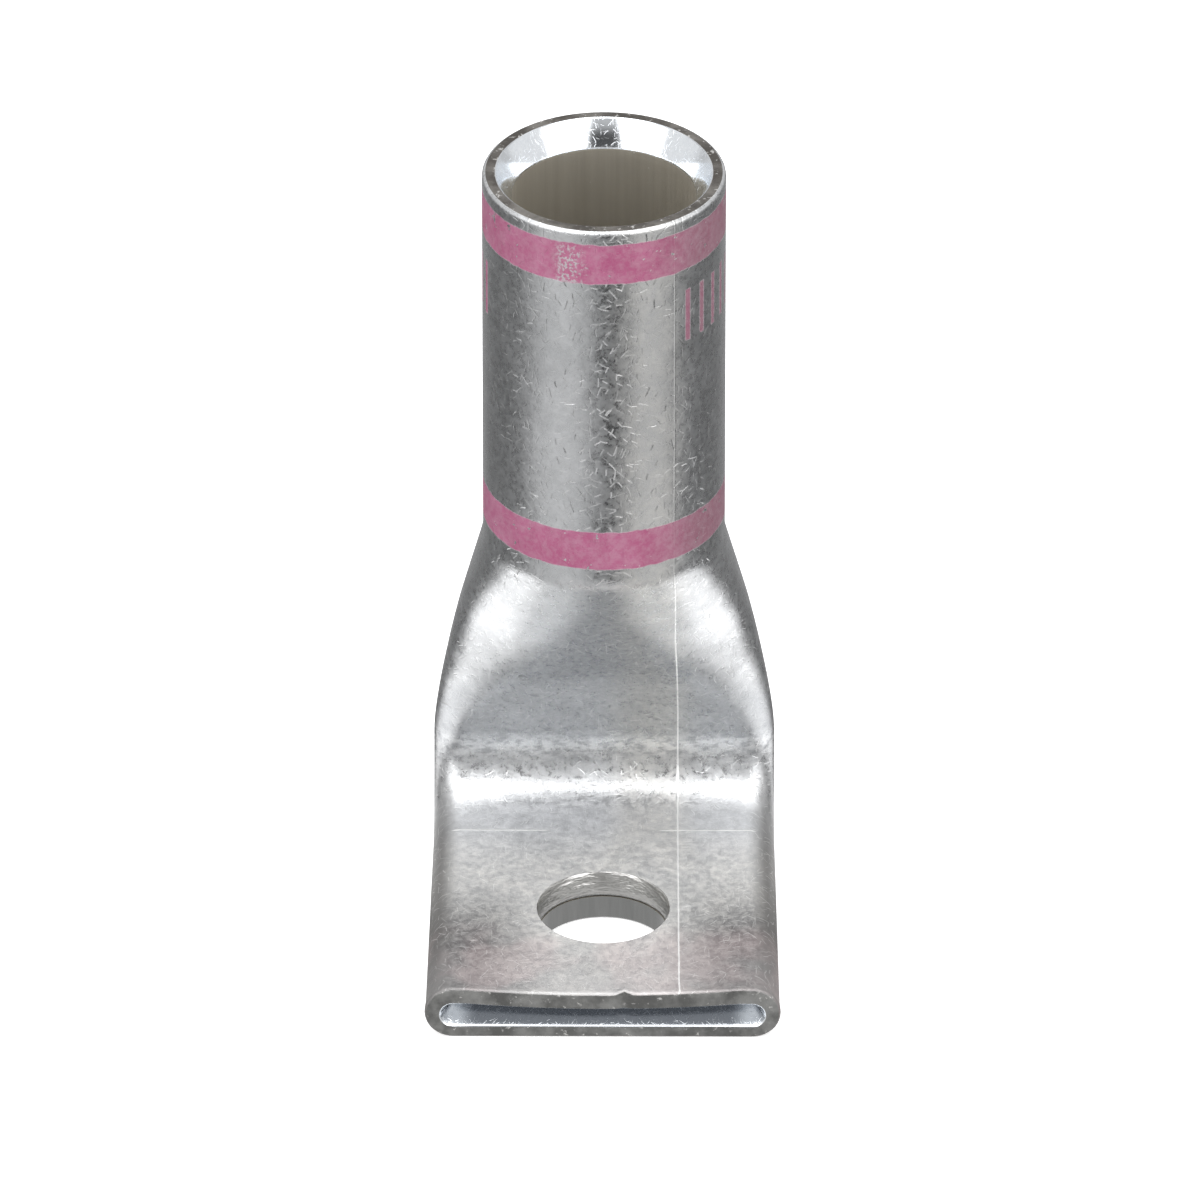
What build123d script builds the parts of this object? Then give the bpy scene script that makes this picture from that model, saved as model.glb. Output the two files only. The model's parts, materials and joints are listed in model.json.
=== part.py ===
from build123d import *

# Right-angle cable lug, made from one length of round copper tube and tin plated.
#
# One end of the tube stays round as the barrel that grips the cable. Below the barrel the front
# of the tube is pressed back until both walls meet, while the back stays straight, and the flat
# is bent forward into a tongue with one stud hole. Both ends of the tube were countersunk before
# it was pressed, so the open tip of the tongue has the same funnel as the barrel's mouth.
#
# Millimetres. The origin is the centre of the stud hole on the underside of the tongue.
# +Z runs up the barrel, and the tongue's tip points to -Y.

import os
from math import cos, radians, sin

# Tube
barrel_od = 13.5
barrel_bore = 10.2
barrel_length = 22.75  # from the mouth down to where the flattening starts

# Countersunk ends of the tube
mouth_rim = 0.75  # flat ring left outside the mouth's funnel
tip_rim = 0.85  # the same ring at the tip of the tongue
funnel_depth = 1.5
mouth_edge_break = 0.25
tip_edge_break = 0.15

# Flattening, from the round barrel down to the bend
ramp_length = 16.8
ramp_shoulder_run = 0.7  # how softly the front turns in below the barrel
ramp_foot_run = 4.0  # how softly it turns straight again above the bend
outer_sections = 11
inner_sections = 5
half_outline_points = 24

# Tongue
tongue_thickness = 3.05
seam_gap = 0.15  # left between the two pressed walls
bend_radius = 3.0  # inside of the bend
root_width = 19.2
tip_width = 19.7
tip_lip_width = 19.85  # the countersunk tip is upset a little wider
tip_lip_length = 1.1
hole_to_tip = 8.8
hole_to_barrel = 8.65  # from the stud hole to the barrel's axis

# Stud hole
stud_hole = 7.2
hole_edge_break = 0.12

# Places that follow
barrel_r = barrel_od / 2
bore_r = barrel_bore / 2
bend_top_z = tongue_thickness + bend_radius
ramp_top_z = bend_top_z + ramp_length
mouth_z = ramp_top_z + barrel_length
back_y = hole_to_barrel + barrel_r
bend_y = back_y - tongue_thickness - bend_radius
tip_y = -hole_to_tip
lip_y = tip_y + tip_lip_length
barrel_wall = barrel_r - bore_r
flat_wall = (tongue_thickness - seam_gap) / 2
full_drop = barrel_od - tongue_thickness


def level(z, depth):
    """A level sketch plane at height z, on the middle of a section of this depth."""
    return Plane(origin=(0, back_y - depth / 2, z), x_dir=(1, 0, 0), z_dir=(0, 0, 1))


def upright(y):
    """An upright sketch plane across the tongue, at its middle."""
    return Plane(origin=(0, y, tongue_thickness / 2), x_dir=(1, 0, 0), z_dir=(0, -1, 0))


def pressed_outline(width, depth):
    """The back half and the front half of a part-pressed section.

    The walls are straight where the press has met them, and the sides are half circles, so a
    section keeps nearly the tube's own length round.
    """
    x = (width - depth) / 2
    y = depth / 2
    with BuildLine() as back:
        ThreePointArc((width / 2, 0), corner(x, 0, y, 45), (x, y))
        Line((x, y), (-x, y))
        ThreePointArc((-x, y), corner(-x, 0, y, 135), (-width / 2, 0))
    with BuildLine() as front:
        ThreePointArc((-width / 2, 0), corner(-x, 0, y, 225), (-x, -y))
        Line((-x, -y), (x, -y))
        ThreePointArc((x, -y), corner(x, 0, y, 315), (width / 2, 0))
    return back.wires()[0], front.wires()[0]


def corner(x, y, radius, degrees):
    """The point at this angle on a side's round."""
    turn = radians(degrees)
    return (x + radius * cos(turn), y + radius * sin(turn))


def smooth_wire(plane, outline):
    """One closed curve through points spaced evenly along each half of an outline."""
    points = []
    for half in outline:
        points += [half @ (step / half_outline_points) for step in range(half_outline_points)]
    return plane * Wire([Edge.make_spline(points, periodic=True)])


def flat_wire(plane, width, depth):
    """A fully pressed section: two straight walls joined by half circles."""
    x = (width - depth) / 2
    y = depth / 2
    with BuildLine(plane) as line:
        ThreePointArc((width / 2, 0), corner(x, 0, y, 45), (x, y))
        Line((x, y), (-x, y))
        ThreePointArc((-x, y), (-width / 2, 0), (-x, -y))
        Line((-x, -y), (x, -y))
        ThreePointArc((x, -y), corner(x, 0, y, -45), (width / 2, 0))
    return line.wires()[0]


def slit_wire(plane, width, gap):
    """The seam between the two pressed walls, which ends square."""
    x = width / 2
    y = gap / 2
    with BuildLine(plane) as line:
        Polyline((x, 0), (x, y), (-x, y), (-x, -y), (x, -y), (x, 0))
    return line.wires()[0]


def ramp_sections(count):
    """The height, width and depth of each section down the ramp."""
    barrel_front = back_y - barrel_od
    flat_front = back_y - tongue_thickness
    front = Bezier(
        (0, barrel_front, ramp_top_z),
        (0, barrel_front, ramp_top_z - ramp_shoulder_run),
        (0, flat_front, bend_top_z + ramp_foot_run),
        (0, flat_front, bend_top_z),
    )
    for step in range(count):
        spot = front @ (step / (count - 1))
        depth = back_y - spot.Y
        share = (barrel_od - depth) / full_drop
        width = barrel_od + (root_width - barrel_od) * share
        yield spot.Z, width, depth


def ramp_outside():
    """The pressed stretch as a solid bar."""
    sections = list(ramp_sections(outer_sections))
    wires = [level(ramp_top_z, barrel_od) * Wire.make_circle(barrel_r)]
    for z, width, depth in sections[1:-1]:
        wires.append(smooth_wire(level(z, depth), pressed_outline(width, depth)))
    wires.append(flat_wire(level(bend_top_z, tongue_thickness), root_width, tongue_thickness))
    return Solid.make_loft(wires)


def ramp_inside():
    """The hollow of the pressed stretch, from the round bore down to the seam."""
    sections = list(ramp_sections(inner_sections))
    wires = [level(ramp_top_z, barrel_od) * Wire.make_circle(bore_r)]
    for z, width, depth in sections[1:-1]:
        share = (barrel_od - depth) / full_drop
        wall = barrel_wall + (flat_wall - barrel_wall) * share
        wires.append(flat_wire(level(z, depth), width - 2 * wall, depth - 2 * wall))
    wires.append(slit_wire(level(bend_top_z, tongue_thickness), root_width - 2 * flat_wall, seam_gap))
    return Solid.make_loft(wires, ruled=True)


def barrel():
    """The round stretch, with its bore and the funnel at its mouth."""
    base = level(ramp_top_z, barrel_od)
    top_down = (Align.CENTER, Align.CENTER, Align.MAX)
    tube = base * extrude(Circle(barrel_r), barrel_length)
    tube = chamfer(tube.edges().group_by(Axis.Z)[-1], mouth_edge_break)
    tube -= base * extrude(Circle(bore_r), barrel_length)
    funnel = Cone(bore_r, barrel_r - mouth_rim, funnel_depth, align=top_down)
    return tube - base * Pos(0, 0, barrel_length) * funnel


def ramp():
    return ramp_outside() - ramp_inside()


def bend():
    """A quarter turn of the pressed section about the bend's own axis."""
    plane = level(bend_top_z, tongue_thickness)
    outline = flat_wire(plane, root_width, tongue_thickness)
    slit = slit_wire(plane, root_width - 2 * flat_wall, seam_gap)
    return revolve(Face(outline, [slit]), Axis((0, bend_y, bend_top_z), (1, 0, 0)), -90)


def flat_stretch(start_y, start_width, start_depth, end_y, end_width, end_depth):
    """A straight stretch of pressed section, growing evenly from start to end."""
    start = flat_wire(upright(start_y), start_width, start_depth)
    end = flat_wire(upright(end_y), end_width, end_depth)
    return Solid.make_loft([start, end], ruled=True)


def tongue():
    """The straight part of the tongue with its upset lip, its seam and the tip's funnel."""
    full = tongue_thickness
    gap = seam_gap
    funnel_y = tip_y + funnel_depth
    grown = (bend_y - funnel_y) / (bend_y - lip_y)
    root_slit = root_width - 2 * flat_wall
    funnel_slit = root_slit + (tip_width - root_width) * grown
    edge_y = tip_y + tip_edge_break
    tip_cut = 2 * tip_edge_break
    body = flat_stretch(bend_y, root_width, full, lip_y, tip_width, full)
    body += flat_stretch(lip_y, tip_width, full, edge_y, tip_lip_width, full)
    body += flat_stretch(edge_y, tip_lip_width, full, tip_y, tip_lip_width - tip_cut, full - tip_cut)
    root_seam = slit_wire(upright(bend_y), root_slit, gap)
    seam_end = slit_wire(upright(funnel_y), funnel_slit, gap)
    funnel_mouth = flat_wire(upright(tip_y), tip_lip_width - 2 * tip_rim, full - 2 * tip_rim)
    body -= Solid.make_loft([root_seam, seam_end], ruled=True)
    return body - Solid.make_loft([seam_end, funnel_mouth], ruled=True)


def stud_hole_cutter():
    """The stud hole's tool: straight through both walls, opening out at each face."""
    cutter_r = stud_hole / 2
    edge_r = cutter_r + hole_edge_break
    low = hole_edge_break
    top = tongue_thickness
    high = top - hole_edge_break
    half = Polyline((0, 0), (edge_r, 0), (cutter_r, low), (cutter_r, high), (edge_r, top), (0, top), close=True)
    return revolve(Plane.XZ * make_face(half), Axis.Z)


def make_lug():
    lug = barrel() + ramp()
    lug += bend()
    lug += tongue()
    return lug - stud_hole_cutter()


os.makedirs("parts", exist_ok=True)
export_step(make_lug(), "parts/lug_body.step")
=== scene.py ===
import bpy
import bmesh
import json
from math import atan2, cos, exp, pi, radians, sin, tan

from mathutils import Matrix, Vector

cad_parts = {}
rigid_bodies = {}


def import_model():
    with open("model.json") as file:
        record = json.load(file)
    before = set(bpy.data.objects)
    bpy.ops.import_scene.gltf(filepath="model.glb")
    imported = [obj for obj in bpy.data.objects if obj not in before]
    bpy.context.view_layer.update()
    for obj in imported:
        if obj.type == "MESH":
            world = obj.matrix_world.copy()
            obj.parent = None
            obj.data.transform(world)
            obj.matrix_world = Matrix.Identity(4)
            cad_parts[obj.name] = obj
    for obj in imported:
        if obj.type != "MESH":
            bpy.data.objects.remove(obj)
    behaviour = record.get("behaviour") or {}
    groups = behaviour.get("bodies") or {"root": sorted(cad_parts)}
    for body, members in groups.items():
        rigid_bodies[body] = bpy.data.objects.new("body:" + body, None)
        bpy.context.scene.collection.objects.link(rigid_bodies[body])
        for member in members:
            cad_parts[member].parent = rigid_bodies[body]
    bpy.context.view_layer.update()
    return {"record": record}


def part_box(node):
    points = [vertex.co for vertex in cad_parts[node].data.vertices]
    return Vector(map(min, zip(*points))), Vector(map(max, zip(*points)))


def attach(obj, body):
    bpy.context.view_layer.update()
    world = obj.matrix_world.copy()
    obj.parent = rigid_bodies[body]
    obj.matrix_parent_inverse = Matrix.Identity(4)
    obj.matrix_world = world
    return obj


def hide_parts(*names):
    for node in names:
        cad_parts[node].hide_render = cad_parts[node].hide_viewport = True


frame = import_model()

node_low, node_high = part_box("lug_body")
mounts = {mount["name"]: mount for mount in frame["record"]["mounts"]}

# Millimetres, and the unrolled map's unit
MM = 0.001
MAP_MM = 100

# The tube, countersunk at both ends
barrel_r = 6.75
bore_r = mounts["conductor_barrel"]["dims"]["r_mm"]
barrel_y = mounts["conductor_barrel"]["pos_m"][1] / MM
barrel_length = 22.75
mouth_z = node_high[2] / MM
mouth_rim = 0.75
tip_rim = 0.85
funnel_depth = 1.5

# How far its cut edges are broken
mouth_edge = 0.28
tip_edge = 0.2
rim_edge = 0.08
bore_edge = 0.1

# How deep the outside's finish reaches into the wall, and where the inside's begins
skin_reach = 0.35
inside_from = 0.5

# The pressed stretch
thickness = 3.05
seam_gap = 0.15
bend_inside_r = 3.0
root_width = 19.2
tip_width = 19.7
widened_by = 0.94  # the share of the tongue's length at which it has its tip's width
shoulder_run = 0.7  # how softly the ramp's front turns in below the barrel
foot_run = 4.0  # how softly it turns straight again above the bend
facet_starts = 0.45  # the share of the pressing at which the front's flat begins
facet_growth = 0.75  # the power by which the flat then widens
bow_angle = radians(38.0)  # how far the front bows round beside its flat

# The tip, which the countersink upset a little
tip_y = node_low[1] / MM
lip_width = 19.84
lip_length = 1.1
lip_rise = 0.15
slot_drop = 0.14  # how much lower the slot's mouth lies than the middle of the tip
burr_x = 1.2
burr_height = 0.3
burr_half_width = 0.32
burr_length = 0.8
burr_reach = 1.2  # how deep in the wall the burr fades out

# The sag of the tongue's upper wall
sag_depth = 0.05
sag_half_width = 7.6
sag_run = 3.0  # from the bend to the full sag
tip_sag = 0.3
tip_sag_length = 2.4

# The stud hole
hole_r = mounts["stud_hole"]["dims"]["r_mm"]

# Places that follow; those named along are measured down the tube from its mouth
barrel_wall = barrel_r - bore_r
flat_wall = (thickness - seam_gap) / 2
back_y = barrel_y + barrel_r
bend_z = thickness + bend_inside_r
bend_y = back_y - bend_z
bend_length = (bend_inside_r + thickness / 2) * pi / 2
ramp_top_z = mouth_z - barrel_length
bend_start = mouth_z - bend_z
tongue_start = bend_start + bend_length
hole_along = tongue_start + bend_y
tube_length = hole_along - tip_y
full_drop = 2 * barrel_r - thickness


# Edit-mode helpers


def pick_nothing():
    """Leave every object unselected."""
    for obj in bpy.context.view_layer.objects:
        obj.select_set(False)


def pick(obj):
    """Select one object alone and make it the active one."""
    pick_nothing()
    obj.select_set(True)
    bpy.context.view_layer.objects.active = obj


def start_edit(obj):
    """Put one object into edit mode with nothing in it selected."""
    pick(obj)
    bpy.ops.object.mode_set(mode="EDIT")
    bpy.ops.mesh.select_all(action="DESELECT")


def end_edit():
    bpy.ops.object.mode_set(mode="OBJECT")


def select_faces(obj, wanted):
    """Select the faces that a test picks by their normal."""
    bpy.ops.mesh.select_mode(type="FACE")
    bpy.ops.mesh.select_all(action="DESELECT")
    mesh = bmesh.from_edit_mesh(obj.data)
    for face in mesh.faces:
        face.select_set(wanted(face.normal))
    bmesh.update_edit_mesh(obj.data)


def select_edges(obj, wanted):
    """Select the edges whose two ends both pass a test."""
    bpy.ops.mesh.select_mode(type="EDGE")
    bpy.ops.mesh.select_all(action="DESELECT")
    mesh = bmesh.from_edit_mesh(obj.data)
    for edge in mesh.edges:
        edge.select_set(all(wanted(vert.co) for vert in edge.verts))
    bmesh.update_edit_mesh(obj.data)


def radius_of(place):
    return (place.x**2 + place.y**2) ** 0.5


def near(value, target, slack=0.01):
    """Whether a length in metres is close to one in millimetres."""
    return abs(value / MM - target) < slack


# The tube before it is pressed: straight, standing on z = 0, with its mouth on top

ROUND_STEPS = 176
OUTER_RINGS = 168
BORE_RINGS = 110


def add_cylinder(name, steps, radius, depth, middle_z):
    """An upright cylinder on the Z axis, with its place in its mesh."""
    pick_nothing()
    bpy.ops.mesh.primitive_cylinder_add(
        vertices=steps,
        radius=radius * MM,
        depth=depth * MM,
        location=(0, 0, middle_z * MM),
    )
    made = bpy.context.active_object
    made.name = name
    bpy.ops.object.transform_apply(location=True, rotation=True, scale=True)
    return made


def cut_tube():
    """A length of round tube, countersunk at both ends, with even rings along its walls."""
    tube = add_cylinder("lug_finish", ROUND_STEPS, barrel_r, tube_length, tube_length / 2)
    start_edit(tube)
    tip_ring = tip_rim * barrel_wall / flat_wall
    for side, ring in ((1, mouth_rim), (-1, tip_ring)):
        select_faces(tube, lambda normal: normal.z * side > 0.9)
        bpy.ops.mesh.inset(thickness=ring * MM, depth=0)
        bpy.ops.mesh.inset(thickness=(barrel_wall - ring) * MM, depth=-funnel_depth * MM)
        bpy.ops.mesh.delete(type="FACE")
    select_faces(tube, lambda normal: abs(normal.z) < 0.1)
    bpy.ops.mesh.delete(type="FACE")
    bore_top = tube_length - funnel_depth
    walls = (
        (bore_r, funnel_depth, bore_top, BORE_RINGS),
        (barrel_r, 0, tube_length, OUTER_RINGS),
    )
    for wall_r, low, high, rings in walls:
        select_edges(tube, lambda p: near(radius_of(p), wall_r) and (near(p.z, low) or near(p.z, high)))
        bpy.ops.mesh.bridge_edge_loops(number_cuts=rings, interpolation="LINEAR")
    bpy.ops.mesh.select_all(action="SELECT")
    bpy.ops.mesh.normals_make_consistent(inside=False)
    edges = (
        (barrel_r, tube_length, mouth_edge, 5),
        (barrel_r, 0, tip_edge, 4),
        (barrel_r - mouth_rim, tube_length, rim_edge, 3),
        (barrel_r - tip_ring, 0, rim_edge, 3),
        (bore_r, bore_top, bore_edge, 3),
        (bore_r, funnel_depth, bore_edge, 3),
    )
    for edge_r, height, size, steps in edges:
        select_edges(tube, lambda p: near(radius_of(p), edge_r) and near(p.z, height))
        bpy.ops.mesh.bevel(offset=size * MM, segments=steps, profile=0.5)
    end_edit()
    return tube


# What each face of the tube is, by the order of its material slots

SKIN, RIM, FUNNEL, BORE = range(4)


def zone_of(centre, normal):
    """Which finish a face of the straight tube has."""
    from_end = min(centre.z / MM, tube_length - centre.z / MM)
    if abs(normal.z) > 0.9 and from_end < mouth_edge:
        return RIM
    if radius_of(centre) / MM > barrel_r - skin_reach:
        return SKIN
    if from_end < funnel_depth + 0.02:
        return FUNNEL
    return BORE


def lay_out_tube(tube):
    """Mark the finishes, and unroll the tube onto a map: round it, then along it from its mouth."""
    mesh = tube.data
    for face in mesh.polygons:
        face.material_index = zone_of(face.center, face.normal)
    while mesh.uv_layers:
        mesh.uv_layers.remove(mesh.uv_layers[0])
    tube_map = mesh.uv_layers.new(name="unrolled_tube")
    full_turn = 2 * pi * barrel_r
    for face in mesh.polygons:
        spots = []
        for index in face.vertices:
            place = mesh.vertices[index].co
            around = atan2(place.x, -place.y) * barrel_r
            spots.append([around, tube_length - place.z / MM])
        # A face that crosses the back is kept whole, past the end of the turn
        reach = max(spot[0] for spot in spots)
        for spot, loop in zip(spots, face.loop_indices):
            if reach - spot[0] > full_turn / 2:
                spot[0] += full_turn
            tube_map.data[loop].uv = (spot[0] / MAP_MM, spot[1] / MAP_MM)


# Pressing and bending


def ramp_depth(height):
    """How deep the section is from front to back at a height on the ramp."""
    low, high = 0.0, 1.0
    for _ in range(40):
        t = (low + high) / 2
        u = 1 - t
        z = ramp_top_z * u**3 + 3 * (ramp_top_z - shoulder_run) * t * u**2
        z += 3 * (bend_z + foot_run) * t**2 * u + bend_z * t**3
        if z > height:
            low = t
        else:
            high = t
    drop = full_drop * (3 * t**2 * u + t**3)
    return 2 * barrel_r - drop


def section_at(along):
    """The section's depth, width, wall and half the flat on its front, at a length from the mouth."""
    if along >= bend_start:
        grown = max(0, along - tongue_start) / (tube_length - tongue_start)
        lip = max(0, along - tube_length + lip_length) / lip_length
        width = root_width + (tip_width - root_width) * min(1, grown / widened_by)
        depth = thickness + lip_rise * lip
        width += (lip_width - tip_width) * lip
        return depth, width, flat_wall, (width - depth) / 2
    depth = ramp_depth(mouth_z - along)
    share = (2 * barrel_r - depth) / full_drop
    width = 2 * barrel_r + (root_width - 2 * barrel_r) * share
    grown = (max(0, share - facet_starts) / (1 - facet_starts)) ** facet_growth
    pressed_flat = grown * grown * (3 - 2 * grown)
    wall = barrel_wall + (flat_wall - barrel_wall) * share
    return depth, width, wall, (width - depth) / 2 * pressed_flat


def on_section(section, inset, share):
    """The point of a section's outline, set in by some of the wall, at a share of the half turn.

    A pressed section has a straight back, round sides and a front that bows out round its flat.
    """
    depth, width, _, flat = section
    bow = tan(bow_angle / 2)
    side_r = (depth - (width / 2 - flat) * bow) / (2 - bow)
    side_x = width / 2 - side_r
    bow_r = side_r + (side_x - flat) / sin(bow_angle)
    bow_length = (bow_r - inset) * bow_angle
    side_length = (side_r - inset) * (pi - bow_angle)
    spot = share * (flat + bow_length + side_length + side_x)
    if spot < flat:
        return spot, inset - depth / 2
    spot -= flat
    if spot < bow_length:
        turn = spot / (bow_r - inset)
        return flat + (bow_r - inset) * sin(turn), bow_r - depth / 2 - (bow_r - inset) * cos(turn)
    spot -= bow_length
    if spot < side_length:
        turn = bow_angle + spot / (side_r - inset)
        return side_x + (side_r - inset) * sin(turn), depth / 2 - side_r - (side_r - inset) * cos(turn)
    return side_x - (spot - side_length), depth / 2 - inset


def sag(x, along):
    """How far the tongue's upper wall sags in the middle, most of all at its open tip."""
    if along < tongue_start:
        return 0.0
    from_tip = tube_length - along
    deep = sag_depth + tip_sag * max(0, 1 - from_tip / tip_sag_length) ** 2
    deep *= min(1, (along - tongue_start) / sag_run)
    return deep * max(0, 1 - (x / sag_half_width) ** 2)


def burr(x, along):
    """The small lump that the saw left on the tip's upper lip."""
    from_tip = tube_length - along
    if from_tip > burr_length:
        return 0.0
    return burr_height * exp(-(((x - burr_x) / burr_half_width) ** 2)) * (1 - from_tip / burr_length)


def pressed(place):
    """Where a point of the straight tube ends up after the tube is pressed and bent."""
    along = tube_length - place.z / MM
    inset = barrel_r - radius_of(place) / MM
    if along <= barrel_length:
        return Vector((place.x, place.y + barrel_y * MM, (mouth_z - along) * MM))
    section = section_at(along)
    share = abs(atan2(place.x, -place.y)) / pi
    x, y = on_section(section, inset * section[2] / barrel_wall, share)
    x = x if place.x >= 0 else -x
    if y < 0:
        y += sag(x, along) - burr(x, along) * max(0, 1 - inset / burr_reach)
    if inset > inside_from:
        y += slot_drop * max(0, 1 - (tube_length - along) / funnel_depth)
    if along < bend_start:
        return Vector((x, back_y - section[0] / 2 + y, mouth_z - along)) * MM
    if along < tongue_start:
        turn = (along - bend_start) / bend_length * pi / 2
        out = bend_inside_r + thickness / 2 + y
        return Vector((x, bend_y + out * cos(turn), bend_z - out * sin(turn))) * MM
    return Vector((x, bend_y - (along - tongue_start), section[0] / 2 - y)) * MM


def press_tube(tube):
    for vertex in tube.data.vertices:
        vertex.co = pressed(vertex.co)


# The stud hole


def make_punch():
    """The stud hole's punch, a little wider at both faces of the tongue and above the seam."""
    clear = 1.0
    punch = add_cylinder("stud_punch", 144, hole_r, thickness + 2 * clear, thickness / 2)
    top = thickness - sag(0, hole_along)
    seam = thickness / 2
    # Each ring's height, and how much wider than the hole it is
    rings = (
        (-0.3, 0.3),
        (0.0, 0.12),
        (0.04, 0.03),
        (0.12, 0.0),
        (seam - 0.05, 0.0),
        (seam + 0.05, 0.05),
        (top - 0.14, 0.05),
        (top - 0.05, 0.03),
        (top, 0.12),
        (top + 0.3, 0.3),
    )
    start_edit(punch)
    for height, _ in rings:
        bpy.ops.mesh.select_all(action="SELECT")
        bpy.ops.mesh.bisect(plane_co=(0, 0, height * MM), plane_no=(0, 0, 1))
    for height, wider in rings:
        select_edges(punch, lambda p: near(p.z, height))
        size = 1 + wider / hole_r
        bpy.ops.transform.resize(value=(size, size, 1), center_override=(0, 0, height * MM))
    end_edit()
    return punch


def punch_hole(lug, finish):
    """Punch the stud hole through both walls."""
    punch = make_punch()
    punch.data.materials.append(finish)
    cut = lug.modifiers.new("stud_hole", "BOOLEAN")
    cut.operation = "DIFFERENCE"
    cut.solver = "EXACT"
    cut.object = punch
    cut.material_mode = "TRANSFER"
    pick(lug)
    bpy.ops.object.modifier_apply(modifier=cut.name)
    bpy.data.objects.remove(punch)


# Node helpers, which take another node's output or a plain number


def add_node(tree, kind, **settings):
    made = tree.nodes.new(kind)
    for key, value in settings.items():
        setattr(made, key, value)
    return made


def join(tree, source, target):
    tree.links.new(source, target)


def feed(tree, value, socket):
    """Set a socket to a plain number or colour, or link it to another node."""
    if isinstance(value, (int, float)):
        socket.default_value = value
    elif isinstance(value, tuple):
        socket.default_value = (*value, 1.0)
    else:
        join(tree, value, socket)


def math_node(tree, operation, *values, clamp=False):
    made = add_node(tree, "ShaderNodeMath", operation=operation, use_clamp=clamp)
    for value, socket in zip(values, made.inputs):
        feed(tree, value, socket)
    return made.outputs[0]


def plus(tree, first, second):
    return math_node(tree, "ADD", first, second)


def minus(tree, first, second):
    return math_node(tree, "SUBTRACT", first, second)


def times(tree, first, second):
    return math_node(tree, "MULTIPLY", first, second)


def unsigned(tree, value):
    return math_node(tree, "ABSOLUTE", value)


def most(tree, *masks):
    """The highest of several masks."""
    total = masks[0]
    for mask in masks[1:]:
        total = math_node(tree, "MAXIMUM", total, mask)
    return total


def length_of(tree, x, y):
    return math_node(tree, "SQRT", plus(tree, times(tree, x, x), times(tree, y, y)))


def split(tree, vector):
    """A vector's three parts."""
    parts = add_node(tree, "ShaderNodeSeparateXYZ")
    join(tree, vector, parts.inputs[0])
    return tuple(parts.outputs)


def step_up(tree, value, low, high):
    """A smooth step from 0 at low to 1 at high."""
    made = add_node(tree, "ShaderNodeMapRange", interpolation_type="SMOOTHSTEP")
    made.inputs["From Min"].default_value = low
    made.inputs["From Max"].default_value = high
    join(tree, value, made.inputs["Value"])
    return made.outputs["Result"]


def band(tree, value, low, high, soft):
    """A mask that is 1 between two values, with soft edges."""
    rise = step_up(tree, value, low - soft, low + soft)
    fall = step_up(tree, value, high - soft, high + soft)
    return minus(tree, rise, fall)


def noise(tree, vector, scale, detail=2.0, roughness=0.5):
    made = add_node(tree, "ShaderNodeTexNoise")
    made.inputs["Scale"].default_value = scale
    made.inputs["Detail"].default_value = detail
    made.inputs["Roughness"].default_value = roughness
    join(tree, vector, made.inputs["Vector"])
    return made.outputs["Fac"]


def moved(tree, vector, offset=(0, 0, 0), scale=(1, 1, 1)):
    """The vector scaled and then shifted."""
    made = add_node(tree, "ShaderNodeMapping")
    made.inputs["Location"].default_value = offset
    made.inputs["Scale"].default_value = scale
    join(tree, vector, made.inputs["Vector"])
    return made.outputs["Vector"]


def blend(tree, factor, first, second):
    """A mix of two colours, each another node's output or written out."""
    made = add_node(tree, "ShaderNodeMix", data_type="RGBA")
    sockets = (made.inputs[0], made.inputs[6], made.inputs[7])
    for value, socket in zip((factor, first, second), sockets):
        feed(tree, value, socket)
    return made.outputs[2]


def bump(tree, shader, height, distance):
    made = add_node(tree, "ShaderNodeBump")
    made.inputs["Distance"].default_value = distance
    made.inputs["Strength"].default_value = 1.0
    join(tree, height, made.inputs["Height"])
    join(tree, made.outputs["Normal"], shader.inputs["Normal"])


# Effects that several of the finishes use


def new_group(name, inputs, outputs):
    """An empty shader group with named float or vector sockets."""
    group = bpy.data.node_groups.new(name, "ShaderNodeTree")
    for label, kind, value in inputs:
        socket = group.interface.new_socket(name=label, in_out="INPUT", socket_type=kind)
        if value is not None:
            socket.default_value = value
    for label in outputs:
        group.interface.new_socket(name=label, in_out="OUTPUT", socket_type="NodeSocketFloat")
    return group, add_node(group, "NodeGroupInput").outputs, add_node(group, "NodeGroupOutput").inputs


VECTOR_INPUT = ("Vector", "NodeSocketVector", None)


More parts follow.
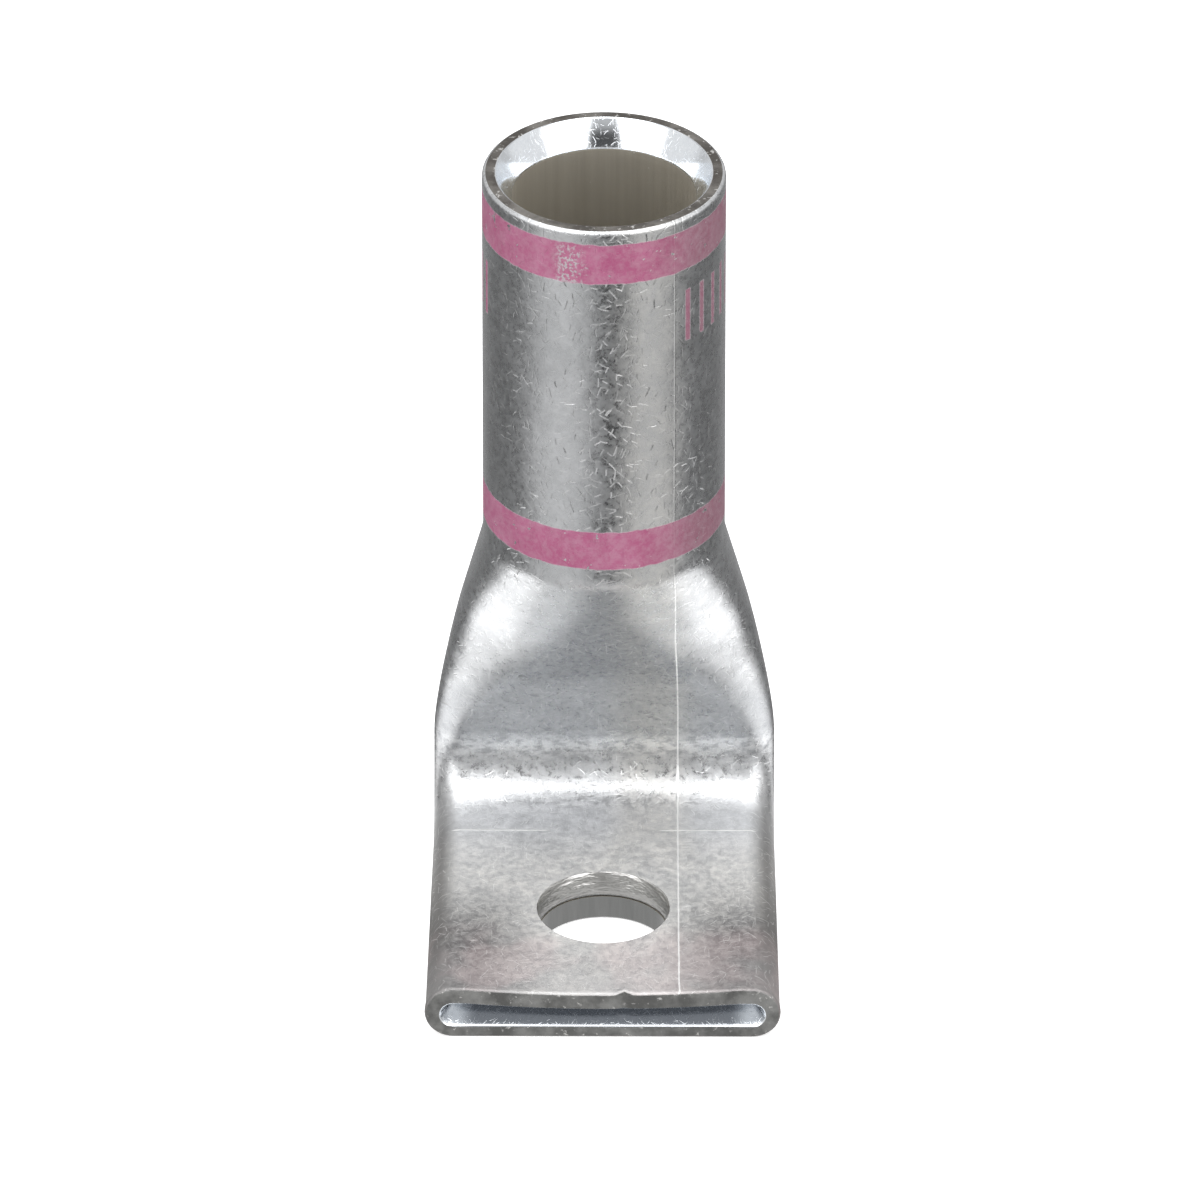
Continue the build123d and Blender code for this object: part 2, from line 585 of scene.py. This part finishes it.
def make_nick_group():
    """Short, slightly bent nicks on the unrolled tube, one to a cell, each turned its own way."""
    inputs = (
        VECTOR_INPUT,
        ("Scale", "NodeSocketFloat", 80.0),
        ("Length", "NodeSocketFloat", 0.35),
        ("Width", "NodeSocketFloat", 0.04),
        ("Amount", "NodeSocketFloat", 0.7),
    )
    group, given, result = new_group("tumble_nicks", inputs, ("Mask",))
    scaled = add_node(group, "ShaderNodeVectorMath", operation="SCALE")
    join(group, given["Vector"], scaled.inputs[0])
    join(group, given["Scale"], scaled.inputs["Scale"])
    cells = add_node(group, "ShaderNodeTexVoronoi", voronoi_dimensions="2D")
    cells.inputs["Scale"].default_value = 1.0
    join(group, scaled.outputs[0], cells.inputs["Vector"])
    offset = add_node(group, "ShaderNodeVectorMath", operation="SUBTRACT")
    join(group, scaled.outputs[0], offset.inputs[0])
    join(group, cells.outputs["Position"], offset.inputs[1])
    x, y, _ = split(group, offset.outputs[0])
    chance = add_node(group, "ShaderNodeSeparateColor")
    join(group, cells.outputs["Color"], chance.inputs[0])
    turned_by, kept_by, bent_by = chance.outputs
    turn = times(group, turned_by, 2 * pi)
    cosine, sine = math_node(group, "COSINE", turn), math_node(group, "SINE", turn)
    lengthways = plus(group, times(group, x, cosine), times(group, y, sine))
    across = minus(group, times(group, y, cosine), times(group, x, sine))
    bend = times(group, minus(group, bent_by, 0.5), 0.7)
    bend = times(group, times(group, lengthways, lengthways), bend)
    across = unsigned(group, plus(group, across, bend))
    from_line = math_node(group, "DIVIDE", across, given["Width"])
    line = math_node(group, "SUBTRACT", 1.0, from_line, clamp=True)
    ends = minus(group, given["Length"], unsigned(group, lengthways))
    ends = math_node(group, "MULTIPLY", ends, 8.0, clamp=True)
    kept = math_node(group, "LESS_THAN", kept_by, given["Amount"])
    kept = times(group, kept, plus(group, times(group, bent_by, 0.75), 0.25))
    join(group, times(group, times(group, line, ends), kept), result["Mask"])
    return group


def make_mottle_group():
    """The uneven grey of tumbled tin: fine grain, slower patches and soft dents, each from 0 to 1."""
    group, given, result = new_group("tin_mottle", (VECTOR_INPUT,), ("Grain", "Patches", "Dents"))
    grain = noise(group, given["Vector"], 2400.0, detail=5.0, roughness=0.78)
    patches = noise(group, given["Vector"], 520.0, detail=4.0, roughness=0.62)
    dents = noise(group, given["Vector"], 300.0)
    join(group, step_up(group, grain, 0.34, 0.66), result["Grain"])
    join(group, step_up(group, patches, 0.34, 0.68), result["Patches"])
    join(group, dents, result["Dents"])
    return group


def make_tube_group():
    """Places on the unrolled tube in millimetres: round it from the front, and down from the mouth."""
    group, given, result = new_group("unrolled_place", (VECTOR_INPUT,), ("Around", "Along"))
    around, along, _ = split(group, given["Vector"])
    join(group, times(group, around, float(MAP_MM)), result["Around"])
    join(group, times(group, along, float(MAP_MM)), result["Along"])
    return group


def use_group(tree, group, vector, **values):
    made = add_node(tree, "ShaderNodeGroup", node_tree=group)
    join(tree, vector, made.inputs["Vector"])
    for key, value in values.items():
        made.inputs[key].default_value = value
    return made.outputs


nick_group = make_nick_group()
mottle_group = make_mottle_group()
tube_group = make_tube_group()

# Nicks to a unit of the map; their length, width and amount; and where their pattern starts
NICK_SIZES = (
    (175.0, 0.42, 0.075, 0.95, (0, 0, 0)),
    (110.0, 0.42, 0.048, 0.8, (0.137, 0.291, 0)),
    (58.0, 0.3, 0.027, 0.4, (0.411, 0.173, 0)),
)


def nicks_of(tree, unrolled, coarse=1.0):
    """Three sizes of nicks together, the last one sparse and long."""
    masks = []
    for scale, length, width, amount, start in NICK_SIZES:
        place = moved(tree, unrolled, start)
        sizes = {"Scale": scale / coarse, "Length": length, "Width": width, "Amount": amount}
        masks.append(use_group(tree, nick_group, place, **sizes)["Mask"])
    return most(tree, *masks)


# Colours

TIN_LIGHT = (0.85, 0.84, 0.815)
TIN_COOL = (0.815, 0.825, 0.84)
TIN_DARK = (0.54, 0.55, 0.56)
# Painted glint for the nicks and the drawn lines
TIN_GLINT = (0.95, 0.95, 0.94)
# Painted shade for the tongue's outer corners and for its round sides
TIN_CORNER_SHADE = (0.13, 0.125, 0.125)
TIN_SIDE_SHADE = (0.17, 0.165, 0.16)
TIN_TIP = (0.45, 0.44, 0.44)
# Painted shade for the ramp's front
TIN_RAMP_SHADE = (0.23, 0.24, 0.255)
# Painted shade for the inner corner where the bend begins
TIN_BEND_SHADE = (0.20, 0.21, 0.23)
TIN_STAIN = (0.78, 0.62, 0.62)
ROSE_INK = (0.33, 0.062, 0.155)
ROSE_PALE = (0.37, 0.095, 0.195)
# Painted shade for the ink
ROSE_SHADED = (0.20, 0.085, 0.115)
MOUTH_RIM = ((0.12, 0.11, 0.10), (0.30, 0.285, 0.265))
TIP_RIM = ((0.18, 0.18, 0.175), (0.40, 0.40, 0.39))
RIM_SCUFF = (0.74, 0.73, 0.71)
FUNNEL_TIN = ((0.82, 0.85, 0.89), (0.88, 0.91, 0.94))
FUNNEL_SLOT_DARK = (0.45, 0.47, 0.50)
BORE_TIN = ((0.48, 0.445, 0.38), (0.64, 0.605, 0.53))
# Punch streaks, darkened as painted shade inside the stud hole
PUNCHED_AND_SHADED = ((0.24, 0.245, 0.24), (0.36, 0.36, 0.355))


def new_material(name):
    """A material with its shader and its object coordinates."""
    made = bpy.data.materials.new(name)
    made.use_nodes = True
    tree = made.node_tree
    coords = add_node(tree, "ShaderNodeTexCoord")
    return made, tree, tree.nodes["Principled BSDF"], coords.outputs["Object"]


def unrolled_map(tree):
    return add_node(tree, "ShaderNodeUVMap", uv_map="unrolled_tube").outputs["UV"]


# The outside: tumbled tin, with its ink, its drawn lines and the marks of the press

# The ink bands' edges and the marks' ends, down from the mouth
INK_BANDS = ((0.78, 3.3), (19.25, 21.65))
INK_MARKS = (4.6, 7.9)
MARK_PITCH = 1.15
MARKS_START = 6.3  # how far round from the front, which is left clear
CLEAR_MIDDLE = -1.6

# Each pit's place round the tube and along it, and its size
PITS = (
    (4.75, hole_along + 0.2, 0.5),
    (-7.2, hole_along + 3.7, 0.28),
    (-4.7, barrel_length + 10.7, 0.3),
)


def ink_mask(tree, place, around, along, grain):
    """The two ink bands round the barrel and a few plain marks between them, a little worn."""
    wobble = times(tree, minus(tree, noise(tree, place, 1400.0, 3.0), 0.5), 0.22)
    edge = plus(tree, along, wobble)
    bands = most(tree, *(band(tree, edge, *ends, 0.05) for ends in INK_BANDS))
    phase = math_node(tree, "FRACT", times(tree, around, 1 / MARK_PITCH))
    marks = times(tree, band(tree, phase, 0.3, 0.62, 0.05), band(tree, edge, *INK_MARKS, 0.05))
    from_clear = unsigned(tree, minus(tree, around, CLEAR_MIDDLE))
    marks = times(tree, marks, step_up(tree, from_clear, MARKS_START, MARKS_START + 0.05))
    rubbed = times(tree, band(tree, around, -2.6, -1.2, 0.4), band(tree, along, 1.0, 3.3, 0.3))
    speckle = step_up(tree, noise(tree, place, 5200.0, 2.0, 0.6), 0.5, 0.58)
    speckle = times(tree, speckle, times(tree, rubbed, 0.75))
    chips = most(tree, step_up(tree, noise(tree, place, 1700.0, 3.0, 0.65), 0.66, 0.70), speckle)
    thin = minus(tree, 0.97, times(tree, grain, 0.12))
    ink = times(tree, most(tree, bands, marks), thin)
    return times(tree, ink, minus(tree, 1.0, chips))


def inked(tree, metal, ink, around, patches):
    """The ink over the metal, with shade painted darker on one side."""
    colour = blend(tree, patches, ROSE_INK, ROSE_PALE)
    # Painted shade on the ink round one side of the barrel
    colour = blend(tree, times(tree, band(tree, around, 4.0, 17.0, 2.5), 0.8), colour, ROSE_SHADED)
    return blend(tree, ink, metal, colour)


def drawn_lines(tree, around, along):
    """The line that the die drew down the tube, and the line that the press left past the bend."""
    down = band(tree, around, 4.16, 4.24, 0.03)
    aside = band(tree, unsigned(tree, around), 3.2, 8.6, 0.2)
    across = band(tree, along, tongue_start + 1.25, tongue_start + 1.33, 0.04)
    return most(tree, down, times(tree, across, aside))


def pit(tree, around, along, centre_around, centre_along, size):
    """A round pit at a place on the unrolled tube."""
    x = minus(tree, around, centre_around)
    y = minus(tree, along, centre_along)
    return minus(tree, 1.0, step_up(tree, length_of(tree, x, y), size * 0.4, size))


def plain_tin(tree, mottle, around, along):
    """The tin's uneven grey, warmer beside the drawn line and on the tongue."""
    tone = plus(tree, 0.25, times(tree, mottle["Patches"], 0.35))
    tone = plus(tree, tone, times(tree, mottle["Grain"], 0.4))
    on_tongue = step_up(tree, along, tongue_start, tongue_start + 6)
    warm = plus(tree, band(tree, around, 0.8, 4.6, 1.2), on_tongue)
    lit = blend(tree, math_node(tree, "MINIMUM", warm, 1.0), TIN_COOL, TIN_LIGHT)
    return blend(tree, tone, TIN_DARK, lit)


def darkened_tongue(tree, metal, grain, around, along):
    """Painted shade at the tongue's outer corners and along its sides, and a darker grey towards its
    tip.
    """
    aside = unsigned(tree, around)
    near_tip = step_up(tree, along, hole_along - 4.5, hole_along + 4.5)
    # Painted shade in the outer corners near the tip, broken up by the grain
    corner = times(tree, step_up(tree, aside, 2.2, 7.4), near_tip)
    corner = times(tree, corner, minus(tree, 1.0, times(tree, grain, 0.35)))
    metal = blend(tree, corner, metal, TIN_CORNER_SHADE)
    # Painted shade along the tongue's round sides, past the ramp
    past_ramp = step_up(tree, along, bend_start - 3.0, tongue_start + 3.0)
    side = times(tree, band(tree, aside, 8.7, 11.6, 0.7), past_ramp)
    metal = blend(tree, times(tree, side, 0.8), metal, TIN_SIDE_SHADE)
    tip = step_up(tree, along, hole_along + 1.0, hole_along + 8.0)
    return blend(tree, times(tree, tip, 0.45), metal, TIN_TIP)


def ramp_painted_shade(tree, metal, grain, around, along):
    """A patch of painted shade on the ramp's front, narrow at the shoulder and wide at the foot."""
    down = most(tree, minus(tree, along, barrel_length + 1.65), 0.0)
    half = plus(tree, 1.3, times(tree, math_node(tree, "POWER", down, 1.85), 0.088))
    outside = minus(tree, unsigned(tree, around), half)
    patch = minus(tree, 1.0, step_up(tree, outside, -1.2, 1.4))
    patch = times(tree, patch, band(tree, along, barrel_length + 0.25, bend_start - 0.6, 0.55))
    patch = times(tree, patch, minus(tree, 1.0, times(tree, grain, 0.3)))
    fades = step_up(tree, along, barrel_length + 9.5, barrel_length + 12.5)
    patch = times(tree, patch, minus(tree, 0.95, times(tree, fades, 0.4)))
    return blend(tree, patch, metal, TIN_RAMP_SHADE)


def bend_painted_shade(tree, metal, place, along):
    """Painted shade in dark grainy patches across the front where the bend begins, in its inner corner.
    """
    noise_mask = noise(tree, moved(tree, place, scale=(1.0, 2.0, 2.0)), 1300.0, 4.0, 0.7)
    noise_mask = step_up(tree, noise_mask, 0.42, 0.64)
    noise_mask = times(tree, noise_mask, band(tree, along, bend_start - 1.0, bend_start + 1.4, 0.9))
    return blend(tree, times(tree, noise_mask, 0.55), metal, TIN_BEND_SHADE)


def stained_tongue(tree, metal, place, along):
    """A faint stain between the stud hole and the tip."""
    stain = step_up(tree, noise(tree, place, 230.0), 0.42, 0.62)
    stain = times(tree, stain, band(tree, along, hole_along + 2.5, hole_along + 9.0, 1.5))
    return blend(tree, times(tree, stain, 0.22), metal, TIN_STAIN)


def make_skin():
    """The tumbled tin on the outside of the tube. Its nicks are fainter below the barrel."""
    made, tree, shader, place = new_material("tumbled_tin")
    unrolled = unrolled_map(tree)
    mottle = use_group(tree, mottle_group, place)
    grain = mottle["Grain"]
    spot = use_group(tree, tube_group, unrolled)
    around, along = spot["Around"], spot["Along"]
    struck = step_up(tree, noise(tree, place, 260.0), 0.36, 0.6)
    nicks = times(tree, nicks_of(tree, unrolled), math_node(tree, "ADD", struck, 0.5, clamp=True))
    below = step_up(tree, along, barrel_length, barrel_length + 2)
    lines = drawn_lines(tree, around, along)
    pits = most(tree, *(pit(tree, around, along, *place_and_size) for place_and_size in PITS))

    metal = plain_tin(tree, mottle, around, along)
    metal = darkened_tongue(tree, metal, grain, around, along)
    metal = ramp_painted_shade(tree, metal, grain, around, along)
    metal = bend_painted_shade(tree, metal, place, along)
    metal = stained_tongue(tree, metal, place, along)
    # The nicks and the drawn lines are painted brighter as a painted glint, beside the bump they also
    # have
    nick_shine = times(tree, nicks, minus(tree, 0.55, times(tree, below, 0.2)))
    metal = blend(tree, most(tree, nick_shine, lines), metal, TIN_GLINT)
    ink = ink_mask(tree, place, around, along, grain)
    join(tree, inked(tree, metal, ink, around, mottle["Patches"]), shader.inputs["Base Color"])
    join(tree, minus(tree, 1.0, times(tree, ink, 0.95)), shader.inputs["Metallic"])
    shader.inputs["Specular IOR Level"].default_value = 0.25

    tongue = step_up(tree, along, tongue_start - 3.2, tongue_start - 0.2)
    rough = plus(tree, 0.24, times(tree, grain, 0.16))
    rough = plus(tree, rough, times(tree, tongue, 0.34))
    join(tree, plus(tree, rough, times(tree, ink, 0.14)), shader.inputs["Roughness"])

    height = plus(tree, times(tree, grain, 0.5), times(tree, mottle["Dents"], 9.0))
    nick_depth = minus(tree, 1.6, times(tree, below, 0.8))
    height = minus(tree, height, times(tree, nicks, nick_depth))
    height = plus(tree, height, lines)
    height = minus(tree, height, times(tree, pits, 5.0))
    bump(tree, shader, height, 0.000012)
    return made


# The cut ends, the inside and the hole


def tip_half(tree, along):
    """A mask that is 1 on the half of the tube that became the tongue."""
    return step_up(tree, along, tube_length / 2 - 1, tube_length / 2 + 1)


def make_rim():
    """The sawn and tumbled end faces of the tube."""
    made, tree, shader, place = new_material("sawn_rim")
    mottle = use_group(tree, mottle_group, place)
    spot = use_group(tree, tube_group, unrolled_map(tree))
    at_mouth = blend(tree, mottle["Patches"], *MOUTH_RIM)
    at_tip = blend(tree, mottle["Patches"], *TIP_RIM)
    metal = blend(tree, tip_half(tree, spot["Along"]), at_mouth, at_tip)
    noise_mask = step_up(tree, noise(tree, place, 2600.0, 3.0, 0.7), 0.6, 0.7)
    join(tree, blend(tree, noise_mask, metal, RIM_SCUFF), shader.inputs["Base Color"])
    shader.inputs["Metallic"].default_value = 1.0
    join(tree, plus(tree, 0.34, times(tree, mottle["Grain"], 0.2)), shader.inputs["Roughness"])
    bump(tree, shader, plus(tree, mottle["Grain"], noise_mask), 0.000014)
    return made


def make_funnel():
    """The countersinks: turned bright, with scratches from the tumbling, and darker across the middle of
    the slot.
    """
    made, tree, shader, place = new_material("turned_funnel")
    unrolled = unrolled_map(tree)
    mottle = use_group(tree, mottle_group, place)
    nicks = nicks_of(tree, unrolled, coarse=0.55)
    metal = blend(tree, mottle["Grain"], *FUNNEL_TIN)
    spot = use_group(tree, tube_group, unrolled)
    x, _, _ = split(tree, place)
    slot_middle = minus(tree, 1.0, step_up(tree, unsigned(tree, x), 7.0 * MM, 8.2 * MM))
    slot = times(tree, tip_half(tree, spot["Along"]), times(tree, slot_middle, 0.9))
    metal = blend(tree, slot, metal, FUNNEL_SLOT_DARK)
    # The nicks are painted a little brighter, as a painted glint
    join(tree, blend(tree, times(tree, nicks, 0.2), metal, TIN_GLINT), shader.inputs["Base Color"])
    shader.inputs["Metallic"].default_value = 1.0
    join(tree, plus(tree, 0.13, times(tree, nicks, 0.3)), shader.inputs["Roughness"])
    bump(tree, shader, minus(tree, times(tree, mottle["Dents"], 0.8), times(tree, nicks, 0.5)), 0.000008)
    return made


def make_bore():
    """The inside of the tube: duller and browner, drawn lengthways."""
    made, tree, shader, place = new_material("drawn_bore")
    mottle = use_group(tree, mottle_group, place)
    streaks = noise(tree, moved(tree, unrolled_map(tree), scale=(60.0, 2.0, 1.0)), 3.0, 3.0, 0.6)
    metal = blend(tree, streaks, *BORE_TIN)
    specks = step_up(tree, noise(tree, place, 2400.0, 2.0, 0.6), 0.72, 0.76)
    join(tree, blend(tree, times(tree, specks, 0.5), metal, TIN_LIGHT), shader.inputs["Base Color"])
    shader.inputs["Metallic"].default_value = 0.75
    join(tree, plus(tree, 0.36, times(tree, streaks, 0.12)), shader.inputs["Roughness"])
    bump(tree, shader, plus(tree, streaks, times(tree, mottle["Grain"], 0.3)), 0.00001)
    return made


def make_hole_wall():
    """The punched wall of the stud hole: torn above the seam, burnished below it. Its grey is dark as
    painted shade inside the hole, over real punch streaks.
    """
    made, tree, shader, place = new_material("punched_wall")
    seam = thickness / 2
    _, _, z = split(tree, place)
    above = step_up(tree, z, seam * MM, (seam + 0.15) * MM)
    streaks = noise(tree, moved(tree, place, scale=(2600.0, 2600.0, 260.0)), 1.0, 3.0, 0.6)
    torn = noise(tree, moved(tree, place, scale=(700.0, 700.0, 3200.0)), 1.0, 3.0, 0.6)
    # Painted shade inside the hole, over the punch streaks
    metal = blend(tree, streaks, *PUNCHED_AND_SHADED)
    metal = blend(tree, times(tree, above, 0.6), metal, TIN_LIGHT)
    join(tree, metal, shader.inputs["Base Color"])
    shader.inputs["Metallic"].default_value = 1.0
    join(tree, plus(tree, 0.12, times(tree, above, 0.16)), shader.inputs["Roughness"])
    height = plus(tree, times(tree, streaks, 0.08), times(tree, times(tree, torn, above), 3.0))
    bump(tree, shader, height, 0.00004)
    return made


def make_lug():
    """The whole lug, made as the real one is: countersunk, pressed, bent and punched."""
    lug = cut_tube()
    for make_finish in (make_skin, make_rim, make_funnel, make_bore):
        lug.data.materials.append(make_finish())
    lay_out_tube(lug)
    press_tube(lug)
    punch_hole(lug, make_hole_wall())
    pick(lug)
    bpy.ops.object.shade_smooth_by_angle(angle=radians(32))
    return lug


lug = make_lug()
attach(lug, "root")
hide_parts("lug_body")


# The studio: a pale floor, two soft boxes, a soft overhead and an even surround.
# Directions are degrees from the side that the tongue points to, towards +X.


def compass(tree, vector, centre):
    """The direction of a place from a centre, how far out it is and its height."""
    shifted = add_node(tree, "ShaderNodeVectorMath", operation="SUBTRACT")
    join(tree, vector, shifted.inputs[0])
    shifted.inputs[1].default_value = centre
    x, y, z = split(tree, shifted.outputs[0])
    turn = math_node(tree, "ARCTAN2", x, times(tree, y, -1.0))
    return math_node(tree, "DEGREES", turn), length_of(tree, x, y), z


def studio_grey(tree, direction, out):
    """The grey a metal part sees below it: dark in front, light strips beside that, dark sides."""
    front = times(tree, band(tree, direction, -11.0, 21.0, 7.0), step_up(tree, out, 0.030, 0.042))
    strips = band(tree, direction, -68.0, 66.0, 16.0)
    sides = band(tree, unsigned(tree, direction), 66.0, 140.0, 16.0)
    grey = plus(tree, 0.36, times(tree, strips, 0.31))
    grey = minus(tree, grey, times(tree, front, 0.6))
    return minus(tree, grey, times(tree, sides, 0.19))


def make_floor():
    """A pale floor. Metal sees it as the studio's greys, brightest close beside the lug."""
    pick_nothing()
    bpy.ops.mesh.primitive_plane_add(size=4.0, location=(0, 0, 0))
    floor = bpy.context.active_object
    floor.name = "floor"
    made, tree, shader, place = new_material("pale_floor")
    shader.inputs["Roughness"].default_value = 1.0
    shader.inputs["Specular IOR Level"].default_value = 0.0
    shader.inputs["Base Color"].default_value = (0.86, 0.86, 0.86, 1)
    seen = add_node(tree, "ShaderNodeLightPath")
    direction, out, _ = compass(tree, place, (0, barrel_y * MM, 0))
    close = band(tree, out, 0.010, 0.026, 0.003)
    beside = band(tree, unsigned(tree, direction), 82.0, 122.0, 10.0)
    grey = plus(tree, studio_grey(tree, direction, out), times(tree, times(tree, close, beside), 1.7))
    glow = add_node(tree, "ShaderNodeEmission")
    join(tree, grey, glow.inputs["Strength"])
    lift = add_node(tree, "ShaderNodeEmission")
    join(tree, times(tree, seen.outputs["Is Camera Ray"], 0.55), lift.inputs["Strength"])
    pale = add_node(tree, "ShaderNodeAddShader")
    join(tree, shader.outputs[0], pale.inputs[0])
    join(tree, lift.outputs[0], pale.inputs[1])
    surface = add_node(tree, "ShaderNodeMixShader")
    join(tree, seen.outputs["Is Glossy Ray"], surface.inputs[0])
    join(tree, pale.outputs[0], surface.inputs[1])
    join(tree, glow.outputs[0], surface.inputs[2])
    join(tree, surface.outputs[0], tree.nodes["Material Output"].inputs["Surface"])
    floor.data.materials.append(made)


def away_from(direction, rise):
    """The unit vector towards a direction and a rise above the floor, both in radians."""
    return Vector((sin(direction) * cos(rise), -cos(direction) * cos(rise), sin(rise)))


def soft_box(name, direction, rise, width, height, power, distance=0.6):
    """A rectangular lamp that faces the middle of the lug."""
    data = bpy.data.lights.new(name, "AREA")
    data.shape = "RECTANGLE"
    data.size = width
    data.size_y = height
    data.energy = power
    lamp = bpy.data.objects.new(name, data)
    bpy.context.scene.collection.objects.link(lamp)
    away = away_from(radians(direction), radians(rise))
    lamp.location = Vector((0, barrel_y / 2, mouth_z / 2)) * MM + away * distance
    lamp.rotation_euler = away.to_track_quat("Z", "Y").to_euler()


def light_world():
    """White behind the lug for the camera; the studio's walls and ceiling for the metal."""
    world = bpy.data.worlds.new("studio")
    bpy.context.scene.world = world
    world.use_nodes = True
    tree = world.node_tree
    surround = tree.nodes["Background"]
    seen = add_node(tree, "ShaderNodeLightPath")
    coords = add_node(tree, "ShaderNodeTexCoord")
    direction, _, height = compass(tree, coords.outputs["Generated"], (0, 0, 0))
    aside = unsigned(tree, direction)
    front = times(tree, band(tree, direction, -22.0, 20.0, 3.0), band(tree, height, 0.38, 0.59, 0.04))
    beside = times(tree, band(tree, aside, 18.0, 118.0, 8.0), band(tree, height, 0.1, 0.8, 0.1))
    walls = plus(tree, 0.48, times(tree, beside, 0.35))
    walls = plus(tree, walls, times(tree, step_up(tree, aside, 110.0, 150.0), 0.2))
    walls = minus(tree, walls, times(tree, front, 0.42))
    walls = plus(tree, walls, times(tree, step_up(tree, height, 0.62, 0.9), 0.32))
    join(tree, most(tree, walls, seen.outputs["Is Camera Ray"]), surround.inputs["Strength"])
    surround.inputs["Color"].default_value = (1, 1, 1, 1)


make_floor()
soft_box("soft_box_left", -46, 32, 0.50, 0.42, power=0.88)
soft_box("soft_box_right", 46, 32, 0.50, 0.42, power=0.88)
soft_box("soft_box_above", 0, 77, 0.62, 0.44, power=2.6)
light_world()


# The camera, set by where the lug lies in the 1200 pixel frame

FRAME_PIXELS = 1200
SENSOR_WIDTH = 36.0
camera_distance = 1100.0
camera_rise = radians(31.44)
camera_direction = radians(0.25)
pixels_per_mm = 17.97
aim = Vector((-0.2, 4.0, 20.71))


def set_camera():
    data = bpy.data.cameras.new("camera")
    camera = bpy.data.objects.new("camera", data)
    bpy.context.scene.collection.objects.link(camera)
    away = away_from(camera_direction, camera_rise)
    camera.location = (aim + away * camera_distance) * MM
    camera.rotation_euler = away.to_track_quat("Z", "Y").to_euler()
    data.sensor_width = SENSOR_WIDTH
    data.lens = SENSOR_WIDTH * camera_distance * pixels_per_mm / FRAME_PIXELS
    data.clip_end = 10.0
    bpy.context.scene.camera = camera


set_camera()
bpy.context.scene.view_settings.view_transform = "Standard"
